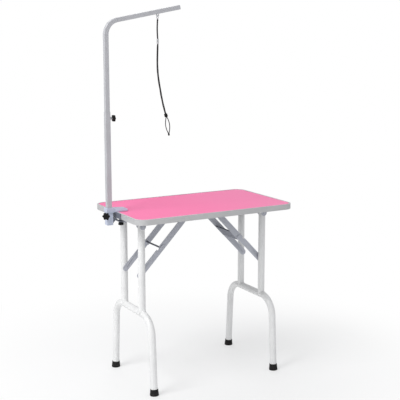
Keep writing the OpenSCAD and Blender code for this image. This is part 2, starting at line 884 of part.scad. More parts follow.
// Two strands side by side, each with a knot where it opens out into the loop
module noose_cord() {
  loop_r = (loop_len * loop_len / 4 + loop_bulge * loop_bulge) / (2 * loop_bulge);
  half_turn = asin(loop_len / 2 / loop_r);
  curve_in = asin(knot_in / curve_r);
  loop_in = asin(knot_in / loop_r);
  color(rubber_black) {
    for (s = [-1, 1]) {
      at_noose(curve_z + seam) translate([s * strand_gap / 2, 0, 0])
        cylinder(r = strand_r, h = ferrule_z0 - curve_z - seam, $fn = 32);
      translate([curve_r - noose_x, 0, curve_z]) rotate([90, 0, 0]) rotate([0, 0, 180])
        rotate_extrude(angle = curve_angle - curve_in)
        translate([curve_r + s * strand_gap / 2, 0]) circle(strand_r, $fn = 32);
      at_loop() mirror([(1 - s) / 2, 0, 0])
        translate([strand_gap / 2 + loop_bulge - loop_r, 0, -loop_len / 2]) rotate([90, 0, 0])
        rotate([0, 0, -half_turn]) rotate_extrude(angle = 2 * half_turn - loop_in)
        translate([loop_r, 0]) circle(strand_r, $fn = 32);
    }
    translate([curve_end_x, 0, curve_end_z]) rotate([0, -curve_angle, 0])
      for (s = [-1, 1]) translate([s * strand_gap / 2, 0, 0]) sphere(r = knot_r, $fn = 32);
  }
}

module noose_slider() {
  color(rubber_black) translate([curve_end_x, 0, curve_end_z]) rotate([0, -curve_angle, 0])
    translate([0, 0, slider_up]) difference() {
      cylinder(r = slider_bore + slider_wall, h = slider_h);
      translate([0, 0, -1]) cylinder(r = slider_bore, h = slider_h + 2);
    }
}

module noose_clasp() {
  color(rubber_black) at_loop() translate([0, 0, -loop_len - clasp_gap - clasp_h])
    cylinder(r = clasp_r, h = clasp_h);
}

tabletop_board();
top_mat();
edge_trim();
bracket_screws();
left_hinge_brackets();
right_hinge_brackets();
left_hinge_pins();
right_hinge_pins();
left_brace_brackets();
right_brace_brackets();
left_brace_pivots();
right_brace_pivots();
left_leg_frame();
right_leg_frame();
left_leg_rings();
right_leg_rings();
left_rubber_feet();
right_rubber_feet();
left_upper_braces();
right_upper_braces();
left_lower_braces();
right_lower_braces();
left_knee_rivets();
right_knee_rivets();
left_leg_rivets();
right_leg_rivets();
left_tie_rod();
right_tie_plate();
clamp_body();
clamp_back_plate();
clamp_sleeve();
clamp_lower_jaw();
clamp_pad();
clamp_screw();
clamp_screw_knob();
post_lock_boss();
post_lock_screw();
post_lock_knob();
lower_post();
post_end_plug();
arm_lock_nut();
arm_lock_screw();
arm_lock_knob();
upper_arm();
arm_end_plug();
arm_eye();
noose_ring();
noose_hanger_cord();
noose_ferrule();
noose_cord();
noose_slider();
noose_clasp();
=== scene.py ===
import json
import math

import bmesh
import bpy
from mathutils import Matrix, Vector

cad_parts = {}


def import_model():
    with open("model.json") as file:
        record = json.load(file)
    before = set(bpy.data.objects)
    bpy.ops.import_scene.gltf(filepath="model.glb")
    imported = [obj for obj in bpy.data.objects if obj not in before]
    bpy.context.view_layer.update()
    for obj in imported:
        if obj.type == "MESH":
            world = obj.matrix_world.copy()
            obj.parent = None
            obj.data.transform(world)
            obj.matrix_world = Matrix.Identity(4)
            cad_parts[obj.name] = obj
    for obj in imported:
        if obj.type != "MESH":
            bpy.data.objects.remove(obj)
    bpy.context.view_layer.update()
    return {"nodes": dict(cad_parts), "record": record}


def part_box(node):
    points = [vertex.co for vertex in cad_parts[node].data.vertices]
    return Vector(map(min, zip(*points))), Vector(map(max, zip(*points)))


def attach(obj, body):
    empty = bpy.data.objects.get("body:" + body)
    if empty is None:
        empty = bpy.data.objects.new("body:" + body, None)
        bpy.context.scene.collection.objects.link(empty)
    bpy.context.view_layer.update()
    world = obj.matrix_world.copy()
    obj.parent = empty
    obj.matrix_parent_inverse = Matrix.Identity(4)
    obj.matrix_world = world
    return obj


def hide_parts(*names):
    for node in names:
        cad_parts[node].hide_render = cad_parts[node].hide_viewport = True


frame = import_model()
nodes = frame["nodes"]
MM = 0.001
SAME_POINT = 0.01 * MM
SIDES = ("left", "right")


# ---- Helpers for materials ----

class Graph:
    """Builds one material's nodes. An input may be a number, a colour or another node's output."""

    def __init__(self, name):
        self.material = bpy.data.materials.new(name)
        self.material.use_nodes = True
        self.tree = self.material.node_tree
        self.tree.nodes.clear()
        self.output = self.tree.nodes.new("ShaderNodeOutputMaterial")
        self.coords = self.node("TexCoord").outputs["Object"]

    def put(self, value, socket):
        if isinstance(value, bpy.types.NodeSocket):
            self.tree.links.new(value, socket)
        else:
            socket.default_value = value

    def node(self, kind, settings=None, **inputs):
        made = self.tree.nodes.new("ShaderNode" + kind)
        for key, value in (settings or {}).items():
            setattr(made, key, value)
        for key, value in inputs.items():
            self.put(value, made.inputs[key.replace("_", " ")])
        return made

    def math(self, operation, a, b=0.0):
        made = self.node("Math", {"operation": operation})
        self.put(a, made.inputs[0])
        self.put(b, made.inputs[1])
        return made.outputs[0]

    def mix(self, factor, a, b):
        """A colour between a, at factor 0, and b, at factor 1."""
        made = self.node("Mix", {"data_type": "RGBA"})
        self.put(factor, made.inputs[0])
        self.put(a, made.inputs[6])
        self.put(b, made.inputs[7])
        return made.outputs[2]

    def fade(self, value, low, high, start=0.0, end=1.0):
        """start where value is below low, end where it is above high, and smooth between."""
        made = self.node("MapRange", {"interpolation_type": "SMOOTHSTEP"}, Value=value)
        made.inputs["From Min"].default_value = low
        made.inputs["From Max"].default_value = high
        made.inputs["To Min"].default_value = start
        made.inputs["To Max"].default_value = end
        return made.outputs["Result"]

    def stretched(self, sx, sy, sz):
        """Object coordinates stretched along each axis, for brushing and scratches."""
        return self.node("Mapping", Vector=self.coords, Scale=(sx, sy, sz)).outputs["Vector"]

    def noise(self, scale, detail=3.0, coords=None, roughness=0.55):
        made = self.node("TexNoise", Vector=coords or self.coords, Scale=scale, Detail=detail,
                         Roughness=roughness)
        return made.outputs["Fac"]

    def edges(self, radius):
        """1 on sharp edges and corners, 0 on flat faces."""
        soft = self.node("Bevel", {"samples": 4}, Radius=radius).outputs["Normal"]
        hard = self.node("NewGeometry").outputs["Normal"]
        made = self.node("VectorMath", {"operation": "DOT_PRODUCT"})
        self.put(soft, made.inputs[0])
        self.put(hard, made.inputs[1])
        return self.fade(made.outputs["Value"], 0.80, 0.985, 1.0, 0.0)

    def bump(self, height, distance, strength):
        return self.node("Bump", Height=height, Distance=distance, Strength=strength).outputs["Normal"]

    def finish(self, **inputs):
        shader = self.node("BsdfPrincipled", **inputs)
        self.tree.links.new(shader.outputs["BSDF"], self.output.inputs["Surface"])
        return self.material


def painted(name, colour, worn, roughness, metallic=0.0, coat=0.0, wear=0.5, scuff_z=None):
    """Powder coat: orange peel, uneven tint, fine scratches, and chips that show the worn colour along
    edges. Below scuff_z metres it also has faint scuff marks."""
    g = Graph(name)
    cloud = g.noise(9.0, 4.0)
    tint = g.mix(g.fade(cloud, 0.35, 0.7), colour, [c * 0.93 for c in colour[:3]] + [1])
    peel = g.noise(650.0, 2.0)
    grain = g.noise(5200.0, 1.0)
    scratches = g.fade(g.noise(60.0, 6.0, g.stretched(26, 26, 1.2), 0.7), 0.66, 0.74)
    chips = g.math("MULTIPLY", g.edges(1.1 * MM), g.fade(g.noise(160.0, 5.0), 0.5, 0.62))
    worn_mask = g.math("MULTIPLY", chips, wear)
    light_marks = g.math("MULTIPLY", scratches, 0.12 * wear)
    base = g.mix(light_marks, tint, worn)
    base = g.mix(worn_mask, base, worn)
    rough = g.fade(peel, 0.3, 0.7, roughness - 0.05, roughness + 0.07)
    if scuff_z is not None:
        height = g.node("SeparateXYZ", Vector=g.coords).outputs["Z"]
        low = g.fade(height, 0.03, scuff_z, 1.0, 0.0)
        streaks = g.fade(g.noise(38.0, 5.0, g.stretched(3.0, 3.0, 0.7), 0.7), 0.52, 0.72)
        marks = g.math("MULTIPLY", g.math("MULTIPLY", low, streaks), 0.10)
        base = g.mix(marks, base, (0.33, 0.32, 0.30, 1))
    height = g.math("ADD", peel, g.math("MULTIPLY", grain, 0.15))
    height = g.math("SUBTRACT", height, g.math("MULTIPLY", worn_mask, 0.7))
    return g.finish(Base_Color=base, Roughness=rough, Metallic=metallic, Coat_Weight=coat,
                    Coat_Roughness=0.2, Normal=g.bump(height, 0.06 * MM, 0.55))


def satin_aluminium():
    """The edge trim: anodised, with drawing lines along it and a few dents of shine."""
    g = Graph("satin_aluminium")
    along = g.noise(900.0, 2.0, g.stretched(0.012, 0.012, 1.0))
    cloud = g.noise(6.0, 4.0)
    base = g.mix(g.fade(cloud, 0.35, 0.7), (0.62, 0.62, 0.622, 1), (0.56, 0.56, 0.566, 1))
    base = g.mix(g.math("MULTIPLY", g.fade(along, 0.4, 0.65), 0.25), base, (0.66, 0.66, 0.67, 1))
    nicks = g.math("MULTIPLY", g.edges(0.8 * MM), g.fade(g.noise(210.0, 4.0), 0.52, 0.66))
    base = g.mix(g.math("MULTIPLY", nicks, 0.45), base, (0.80, 0.80, 0.81, 1))
    rough = g.fade(g.noise(45.0, 5.0), 0.3, 0.7, 0.34, 0.46)
    height = g.math("ADD", g.math("MULTIPLY", along, 0.6), g.math("MULTIPLY", g.noise(1500.0, 2.0), 0.3))
    return g.finish(Base_Color=base, Roughness=rough, Metallic=0.35, Normal=g.bump(height, 0.03 * MM, 0.5))


def grip_rubber():
    """The mat: pink rubber with a fine pebbled grip, and painted light that makes it a little paler towards
    +X.
    """
    g = Graph("grip_rubber")
    cells = g.node("TexVoronoi", {"feature": "SMOOTH_F1"}, Vector=g.coords, Scale=480.0)
    pebble = g.fade(cells.outputs["Distance"], 0.05, 0.75, 1.0, 0.0)
    fine = g.noise(2600.0, 2.0)
    cloud = g.noise(3.2, 5.0)
    place = g.node("SeparateXYZ", Vector=g.coords)
    # Painted light: the pink grows paler towards the +X end of the mat.
    painted_light_towards_right = g.fade(place.outputs["X"], -0.15, 0.45)
    base = g.mix(painted_light_towards_right, (0.925, 0.200, 0.420, 1), (0.935, 0.272, 0.490, 1))
    base = g.mix(g.math("MULTIPLY", g.fade(cloud, 0.3, 0.75), 0.25), base, (0.885, 0.172, 0.385, 1))
    # Painted shade: darker pink in the valleys between the pebbles.
    base = g.mix(g.math("MULTIPLY", g.math("SUBTRACT", 1.0, pebble), 0.30), base, (0.84, 0.13, 0.32, 1))
    hairs = g.fade(g.noise(22.0, 8.0, g.stretched(1.0, 9.0, 1.0), 0.75), 0.64, 0.74)
    base = g.mix(g.math("MULTIPLY", hairs, 0.10), base, (1.0, 0.62, 0.78, 1))
    rough = g.fade(fine, 0.3, 0.7, 0.62, 0.80)
    height = g.math("ADD", pebble, g.math("MULTIPLY", fine, 0.25))
    return g.finish(Base_Color=base, Roughness=rough, Specular_IOR_Level=0.35, Sheen_Weight=0.08,
                    Normal=g.bump(height, 0.22 * MM, 0.6))


def zinc_steel():
    """Plated steel with crystal spangle, fine scratches and brownish stains."""
    g = Graph("zinc_steel")
    spangle = g.node("TexVoronoi", {"feature": "F1"}, Vector=g.coords, Scale=420.0).outputs["Color"]
    tone = g.node("RGBToBW", Color=spangle).outputs["Val"]
    base = g.mix(g.fade(tone, 0.1, 0.9), (0.60, 0.61, 0.63, 1), (0.72, 0.73, 0.74, 1))
    stain = g.fade(g.noise(120.0, 5.0), 0.55, 0.75)
    base = g.mix(g.math("MULTIPLY", stain, 0.35), base, (0.42, 0.40, 0.37, 1))
    scratch = g.noise(700.0, 3.0, g.stretched(1.0, 1.0, 0.05))
    rough = g.fade(scratch, 0.3, 0.7, 0.24, 0.40)
    return g.finish(Base_Color=base, Roughness=rough, Metallic=0.95, Normal=g.bump(scratch, 0.02 * MM, 0.5))


def black_rubber():
    """Moulded rubber: matte, dusty near the floor and greyer along rubbed edges."""
    g = Graph("black_rubber")
    grain = g.noise(1900.0, 3.0)
    height = g.node("SeparateXYZ", Vector=g.coords).outputs["Z"]
    dust = g.math("MULTIPLY", g.fade(height, 0.0, 0.02, 1.0, 0.15), g.fade(g.noise(90.0, 6.0), 0.4, 0.75))
    base = g.mix(g.math("MULTIPLY", dust, 0.20), (0.0085, 0.0082, 0.0080, 1), (0.16, 0.15, 0.135, 1))
    base = g.mix(g.math("MULTIPLY", g.edges(1.2 * MM), 0.10), base, (0.13, 0.13, 0.13, 1))
    rough = g.fade(grain, 0.3, 0.7, 0.66, 0.88)
    return g.finish(Base_Color=base, Roughness=rough, Specular_IOR_Level=0.35,
                    Normal=g.bump(grain, 0.07 * MM, 0.6))


def moulded_plastic():
    """Black knobs: fine spark-eroded grain, with the high edges polished by hands to a lower roughness and
    a painted highlight that makes them lighter.
    """
    g = Graph("moulded_plastic")
    grain = g.noise(2800.0, 2.0)
    edge = g.edges(1.0 * MM)
    # Painted highlight: the edges are mixed towards a lighter black.
    base = g.mix(g.math("MULTIPLY", edge, 0.20), (0.0050, 0.0049, 0.0049, 1), (0.03, 0.03, 0.031, 1))
    smears = g.math("MULTIPLY", g.fade(g.noise(70.0, 5.0), 0.55, 0.8), 0.15)
    base = g.mix(smears, base, (0.025, 0.024, 0.022, 1))
    rough = g.math("SUBTRACT", g.fade(grain, 0.3, 0.7, 0.46, 0.60), g.math("MULTIPLY", edge, 0.16))
    return g.finish(Base_Color=base, Roughness=rough, Specular_IOR_Level=0.25,
                    Normal=g.bump(grain, 0.05 * MM, 0.5))


def braided_nylon():
    """A round braid. U of the UV map counts stitches along the cord, and V goes once round it."""
    g = Graph("braided_nylon")
    uv = g.node("SeparateXYZ", Vector=g.node("TexCoord").outputs["UV"])
    around = g.math("MULTIPLY", uv.outputs["Y"], 4.0)
    one_way = g.math("PINGPONG", g.math("ADD", uv.outputs["X"], around), 0.5)
    other_way = g.math("PINGPONG", g.math("SUBTRACT", uv.outputs["X"], around), 0.5)
    plait = g.math("MULTIPLY", g.fade(one_way, 0.02, 0.40), g.fade(other_way, 0.02, 0.40))
    fibres = g.noise(4200.0, 2.0)
    # Painted shade: the braid is darker in the grooves between its plaits.
    base = g.mix(plait, (0.0050, 0.0050, 0.0052, 1), (0.0210, 0.0205, 0.0215, 1))
    base = g.mix(g.math("MULTIPLY", g.fade(fibres, 0.5, 0.8), 0.25), base, (0.055, 0.053, 0.055, 1))
    height = g.math("ADD", plait, g.math("MULTIPLY", fibres, 0.25))
    return g.finish(Base_Color=base, Roughness=0.72, Sheen_Weight=0.25, Sheen_Roughness=0.45,
                    Normal=g.bump(height, 0.25 * MM, 0.8))


def dark_laminate():
    """The board's underside: dark embossed laminate with a faint mottle."""
    g = Graph("dark_laminate")
    mottle = g.noise(160.0, 6.0, None, 0.7)
    emboss = g.noise(1100.0, 3.0)
    base = g.mix(g.fade(mottle, 0.4, 0.65), (0.030, 0.030, 0.032, 1), (0.052, 0.051, 0.052, 1))
    rough = g.fade(emboss, 0.3, 0.7, 0.45, 0.62)
    return g.finish(Base_Color=base, Roughness=rough, Normal=g.bump(emboss, 0.08 * MM, 0.5))


MATERIALS = {
    "board": dark_laminate(),
    "mat": grip_rubber(),
    "trim": satin_aluminium(),
    "leg_paint": painted("white_powder_coat", (0.90, 0.90, 0.895, 1), (0.45, 0.45, 0.45, 1),
                         roughness=0.30, coat=0.35, wear=0.35, scuff_z=0.20),
    "brace_paint": painted("blue_grey_coat", (0.56, 0.575, 0.635, 1), (0.72, 0.73, 0.75, 1),
                           roughness=0.45, metallic=0.15),
    # Painted shade: this dark coat stands for the shade under the table on the tie plate, clamp back plate
    # and lower jaw.
    "dark_paint": painted("shade_dark_grey_coat", (0.165, 0.175, 0.215, 1), (0.34, 0.34, 0.36, 1),
                          roughness=0.50, metallic=0.15),
    "clamp_paint": painted("steel_blue_coat", (0.62, 0.67, 0.81, 1), (0.78, 0.80, 0.84, 1),
                           roughness=0.36, metallic=0.20, coat=0.1),
    "arm_paint": painted("satin_grey_coat", (0.585, 0.588, 0.615, 1), (0.76, 0.76, 0.78, 1),
                         roughness=0.40, metallic=0.20, coat=0.1, wear=0.45),
    "steel": zinc_steel(),
    "rubber": black_rubber(),
    "knob": moulded_plastic(),
    "cord": braided_nylon(),
}
SLOTS = {s["node"]: s["material_slot"] for s in frame["record"]["subparts"]}
BODY_OF = {n: body for body, members in frame["record"]["behaviour"]["bodies"].items() for n in members}


def dress(obj, name):
    """Gives an object the material of a record slot."""
    obj.data.materials.clear()
    obj.data.materials.append(MATERIALS[name])


# ---- Helpers for geometry ----

def add_mesh(name, verts, faces, slot, body, stands_for=(), smooth=40, uvs=None):
    """A new piece riding on a body, and standing for the CAD nodes named. Edges sharper than smooth
    degrees stay crisp."""
    mesh = bpy.data.meshes.new(name)
    mesh.from_pydata([tuple(v) for v in verts], [], faces)
    if uvs is not None:
        layer = mesh.uv_layers.new(name="along_and_round")
        for loop in mesh.loops:
            layer.data[loop.index].uv = uvs[loop.vertex_index]
    bm = bmesh.new()
    bm.from_mesh(mesh)
    bmesh.ops.recalc_face_normals(bm, faces=bm.faces)
    bm.to_mesh(mesh)
    bm.free()
    mesh.shade_smooth()
    mesh.set_sharp_from_angle(angle=math.radians(smooth))
    obj = bpy.data.objects.new(name, mesh)
    bpy.context.scene.collection.objects.link(obj)
    dress(obj, slot)
    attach(obj, body)
    if stands_for:
        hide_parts(*stands_for)
    return obj


def rings_to_mesh(rings, capped=True):
    """Faces that join rings of equally many points. Capped ones have a fan over each end."""
    count = len(rings[0])
    verts = [p for ring in rings for p in ring]
    faces = []
    for i in range(len(rings) - 1):
        for j in range(count):
            a = i * count + j
            b = i * count + (j + 1) % count
            faces.append((a, b, b + count, a + count))
    for at in (0, len(rings) - 1) if capped else ():
        verts.append(sum((Vector(p) for p in rings[at]), Vector()) / count)
        centre = len(verts) - 1
        for j in range(count):
            faces.append((at * count + j, at * count + (j + 1) % count, centre))
    return verts, faces


def circle(place, r, h, segments):
    """A ring of points about the Z axis of place. Radius r and height h are in millimetres."""
    ring = []
    for j in range(segments):
        a = 2 * math.pi * j / segments
        ring.append(place @ Vector((r * MM * math.cos(a), r * MM * math.sin(a), h * MM)))
    return ring


def revolve(profile, place, segments=48, capped=True):
    """A profile of (radius, height) pairs in millimetres, turned round the Z axis of place."""
    return rings_to_mesh([circle(place, r, h, segments) for r, h in profile], capped)


def round_corner(r, h, size, start, end):
    """Points round a corner of a profile: an arc about (r, h) from start to end degrees."""
    steps = 5
    turn = [math.radians(start + (end - start) * i / steps) for i in range(steps + 1)]
    return [(r + size * math.cos(a), h + size * math.sin(a)) for a in turn]


def join(parts):
    """One (vertices, faces) out of several."""
    verts, faces = [], []
    for more_verts, more_faces in parts:
        shift = len(verts)
        verts.extend(more_verts)
        faces.extend(tuple(i + shift for i in f) for f in more_faces)
    return verts, faces


def tube_along(points, radius, segments=16, closed=False, ripple=None):
    """A round tube along points: its vertices, faces and UVs. ripple(i) scales the radius at point i."""
    stitch = radius * 2.4
    rings = []
    uvs = []
    side = None
    length = 0.0
    count = len(points)
    for i, p in enumerate(points):
        before = points[i - 1] if (i or closed) else p
        after = points[(i + 1) % count] if (i < count - 1 or closed) else p
        direction = (after - before).normalized()
        if side is None:
            side = direction.orthogonal().normalized()
        side = (side - direction * side.dot(direction)).normalized()
        other = direction.cross(side)
        if i:
            length += (p - points[i - 1]).length
        r = radius * (ripple(i) if ripple else 1.0)
        ring = []
        for j in range(segments):
            a = 2 * math.pi * j / segments
            ring.append(p + side * (r * math.cos(a)) + other * (r * math.sin(a)))
            uvs.append((length / stitch, j / segments))
        rings.append(ring)
    if closed:
        verts, faces = rings_to_mesh(rings, capped=False)
        last = (count - 1) * segments
        for j in range(segments):
            k = (j + 1) % segments
            faces.append((last + j, last + k, k, j))
        return verts, faces, uvs
    verts, faces = rings_to_mesh(rings)
    uvs.append((0.0, 0.0))
    uvs.append((length / stitch, 0.0))
    return verts, faces, uvs


def middle(node):
    low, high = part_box(node)
    return (low + high) / 2


def frame_at(origin, z_axis):
    """A placement at origin with its Z along z_axis."""
    turn = Vector(z_axis).normalized().to_track_quat("Z", "Y").to_matrix().to_4x4()
    return Matrix.Translation(origin) @ turn


def soften(node, width, segments=2):
    """Rounds a CAD node's sharp edges by width millimetres, with modifiers that leave its mesh as it is."""
    sharp_from = 35
    obj = nodes[node]
    weld = obj.modifiers.new("weld", "WELD")
    weld.merge_threshold = SAME_POINT
    bevel = obj.modifiers.new("soft_edges", "BEVEL")
    bevel.width = width * MM
    bevel.segments = segments
    bevel.limit_method = "ANGLE"
    bevel.angle_limit = math.radians(sharp_from)
    bevel.harden_normals = False
    bevel.use_clamp_overlap = True
    smooth = obj.modifiers.new("even_normals", "WEIGHTED_NORMAL")
    smooth.keep_sharp = False
    smooth.weight = 80


# ---- CAD nodes that stay, with their finishes ----

def dress_cad_nodes():
    for name, obj in nodes.items():
        dress(obj, SLOTS[name])


def soften_cad_nodes():
    for side in SIDES:
        for part in ("hinge_brackets", "brace_brackets", "upper_braces", "lower_braces"):
            soften(side + "_" + part, 0.35)
        soften(side + "_leg_rings", 0.6)
    soften("right_tie_plate", 0.3)
    soften("edge_trim", 0.5)
    for name in ("clamp_body", "clamp_back_plate", "clamp_sleeve", "clamp_lower_jaw", "post_lock_boss"):
        soften(name, 0.7, 3)
    soften("lower_post", 0.55, 3)
    soften("upper_arm", 0.55, 3)
    soften("arm_end_plug", 0.8, 3)
    soften("arm_eye", 0.5)
    soften("arm_lock_nut", 0.7)
    soften("clamp_pad", 0.6)


dress_cad_nodes()
soften_cad_nodes()


# ---- Mat ----

def rounded_outline(half_l, half_w, r, z):
    """Points round a rectangle with round corners, at height z."""
    corner_steps = 14
    side_steps = 10
    points = []
    corners = ((1, -1, -90), (1, 1, 0), (-1, 1, 90), (-1, -1, 180))
    for k, (sx, sy, start) in enumerate(corners):
        cx = sx * (half_l - r)
        cy = sy * (half_w - r)
        for i in range(corner_steps + 1):
            a = math.radians(start + 90 * i / corner_steps)
            points.append(Vector((cx + r * math.cos(a), cy + r * math.sin(a), z)))
        nx, ny, next_start = corners[(k + 1) % 4]
        a = math.radians(next_start)
        target = Vector((nx * (half_l - r) + r * math.cos(a), ny * (half_w - r) + r * math.sin(a), z))
        last = points[-1]
        for i in range(1, side_steps):
            points.append(last.lerp(target, i / side_steps))
    return points


def waviness(p):
    """A slow wave over the mat, from 0 to 2."""
    return 1 + math.sin(p.x * 17.0 + p.y * 9.0) * math.sin(p.y * 23.0 - p.x * 5.0 + 0.8)


def mat():
    """The rubber sheet: pinched under the trim's lip, with a barely uneven surface."""
    low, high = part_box("top_mat")
    corner = 45.5 * MM
    least_corner = 4 * MM
    round_edge = 0.5 * MM
    lip = 5.0
    pinch_depth = 0.32
    pinch_fade = 7.0
    wave_depth = 0.10
    wave_grows_over = 30.0
    rings = []
    insets = [0.5, 0.0, 0.0, 0.4, 1.5, 3.0, 4.6, 5.4, 7.0, 10.0, 15.0, 24.0, 38.0, 58.0, 84.0, 115.0, 150.0,
              185.0, 215.0, 232.0]
    edge_heights = [low.z + 0.1 * MM, low.z + round_edge, high.z - round_edge]
    for i, inset in enumerate(insets):
        d = inset * MM
        z = edge_heights[i] if i < len(edge_heights) else high.z
        ring = rounded_outline(high.x - d, high.y - d, max(corner - d, least_corner), z)
        if inset > lip:
            pinch = pinch_depth * math.exp(-(inset - lip) / pinch_fade)
            grown = wave_depth * min(1.0, (inset - lip) / wave_grows_over)
            for p in ring:
                p.z -= (pinch + grown * waviness(p)) * MM
        rings.append(ring)
    verts, faces = rings_to_mesh(rings)
    add_mesh("rubber_mat", verts, faces, "mat", BODY_OF["top_mat"], ["top_mat"])


mat()


# ---- Rubber feet ----

def foot_place(mount):
    """The lower leg's axis at the floor, for one of the record's foot mounts."""
    x, y, z = mount["pos_m"]
    lean = math.radians(3.63)
    outward = 1 if y > 0 else -1
    up = Vector((0, -outward * math.sin(lean), math.cos(lean)))
    return frame_at(Vector((x, y, z)), up)


def foot(place):
    """A ribbed cap with a rolled mouth, a waist and a flared sole."""
    sole = [(3.0, 0.9), (8.5, 0.9), (9.0, -0.6), (12.5, -0.6), (13.0, 0.9), (15.5, 0.9), (16.0, -1.0)]
    flare = round_corner(18.2, 1.4, 2.3, -90, 0) + [(20.4, 4.6)]
    side = [(19.7, 5.2), (19.7, 6.4), (20.1, 7.0), (19.4, 14.0), (18.8, 20.0), (18.4, 24.6)]
    waist = [(17.8, 25.0), (17.8, 25.8)]
    mouth = round_corner(17.0, 28.0, 1.7, -50, 120) + [(16.05, 29.4), (16.05, 24.0)]
    verts, faces = revolve(sole + flare + side + waist + mouth, place, 64)
    for v in verts:
        v.z = max(v.z, 0.0)
    return verts, faces


def foot_caps(side):
    mine = [m for m in frame["record"]["mounts"] if m["name"].endswith(side + "_foot")]
    verts, faces = join(foot(foot_place(m)) for m in mine)
    node = side + "_rubber_feet"
    add_mesh(side + "_foot_caps", verts, faces, "rubber", BODY_OF[node], [node], 30)


for side_name in SIDES:
    foot_caps(side_name)


# ---- Leg details: weld beads and tube plugs ----

TUBE_R = 16.0 * MM
UPPER_TUBE_Y = 92.5 * MM
CROSSBAR_Z = 350.0 * MM


def weld_bead(x, y):
    """A rippled bead where an upper tube meets the crossbar of the same diameter."""
    points = []
    steps = 220
    steps_per_ripple = 5.5
    out = 1.02 * TUBE_R
    bead_r = 1.9 * MM
    raised = 0.5 * MM
    for i in range(steps):
        a = 2 * math.pi * i / steps
        z = CROSSBAR_Z + out * abs(math.sin(a)) + raised
        points.append(Vector((x + out * math.cos(a), y + out * math.sin(a), z)))

    def ripple(i):
        return 1.0 + 0.10 * math.sin(i * 2 * math.pi / steps_per_ripple)

    return tube_along(points, bead_r, 12, True, ripple)[:2]


def tube_plug(x, y, z):
    """A low domed plug in the top of an upper tube."""
    profile = [(13.0, -9.0), (14.3, -8.0), (14.3, 0.05), (15.6, 0.05)]
    profile += round_corner(14.4, 0.8, 1.2, 0, 90)
    profile += [(10.0, 2.5), (5.0, 2.8)]
    return revolve(profile, Matrix.Translation((x, y, z)))


def leg_details(side):
    low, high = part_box(side + "_leg_frame")
    x = (low.x + high.x) / 2
    body = BODY_OF[side + "_leg_frame"]
    verts, faces = join(weld_bead(x, sy * UPPER_TUBE_Y) for sy in (-1, 1))
    add_mesh(side + "_weld_beads", verts, faces, "leg_paint", body, (), 80)
    verts, faces = join(tube_plug(x, sy * UPPER_TUBE_Y, high.z) for sy in (-1, 1))
    add_mesh(side + "_tube_plugs", verts, faces, "knob", body)


for side_name in SIDES:
    leg_details(side_name)


# ---- Hinge washers ----

def washer(x, y, z, r, thickness):
    """A washer with eased edges, from y along +Y."""
    bore = 4.1
    ease = 0.2
    profile = [(bore, 0.0), (r - ease, 0.0), (r, ease)]
    profile += [(r, thickness - ease), (r - ease, thickness), (bore, thickness)]
    return revolve(profile, frame_at(Vector((x, y, z)), (0, 1, 0)), 32)


def hinge_washers(side):
    """Two washers at each hinge pin, between the leg tube and the ears of its bracket."""
    centre = middle(side + "_hinge_pins")
    washer_r = 8.5
    thickness = 0.9
    clear = 0.05
    tube_r = TUBE_R / MM
    washers = []
    for sy in (-1, 1):
        for start in (-tube_r - thickness - clear, tube_r + clear):
            y = sy * UPPER_TUBE_Y + start * MM
            washers.append(washer(centre.x, y, centre.z, washer_r, thickness))
    verts, faces = join(washers)
    add_mesh(side + "_hinge_washers", verts, faces, "knob", "table")


for side_name in SIDES:
    hinge_washers(side_name)


# ---- Knobs ----

def lobed_knob(place, r, h):
    """A six-lobed hand knob with rolled shoulders, a dished face and a raised hub, standing on place."""
    segments = 120
    edge = min(2.2, h * 0.22)
    foot_z = 1.5
    hub = r * 0.40
    waist = 0.76
    rings = []

    def lobed(a):
        return r * (waist + (1 - waist) * (0.5 + 0.5 * math.cos(6 * a)) ** 0.75)

    def add(inset, z, share=1.0, flat=0.0):
        """A ring at z, set in from the lobes. flat blends it into the round hub, at 1."""
        ring = []
        for j in range(segments):
            a = 2 * math.pi * j / segments
            reach = (lobed(a) - inset) * share * (1 - flat) + hub * flat
            ring.append(place @ Vector((reach * MM * math.cos(a), reach * MM * math.sin(a), z * MM)))
        rings.append(ring)

    # The hub at the back, then the back of the lobes
    add(0, 0.2, 1.0, 1.0)
    add(0, foot_z - 0.1, 1.0, 1.0)
    add(edge + 2, foot_z)
    for i in range(6):
        a = math.radians(-90 + 90 * i / 5)
        add(edge - edge * math.cos(a), foot_z + edge + edge * math.sin(a))
    for i in range(6):
        a = math.radians(90 * i / 5)
        add(edge - edge * math.cos(a), h - edge + edge * math.sin(a))
    # The dished face, then the raised hub in it
    add(edge + 1.0, h - 0.15, 0.97)
    add(edge + 1.6, h - 1.0, 0.93)
    add(0, h - 1.3, 1.0, 0.75)
    add(0, h - 1.2, 1.0, 1.06)
    add(0, h - 0.4, 1.0, 1.04)
    add(0, h - 0.1, 1.0, 1.14)
    return rings_to_mesh(rings)


def hex_cap(place, across_flats, h):
    """A hexagonal nut face with a chamfer, set into a knob's hub."""
    r = across_flats / math.sqrt(3)
    return revolve([(r, 0.0), (r, h * 0.75), (r * 0.88, h)], place, 6)


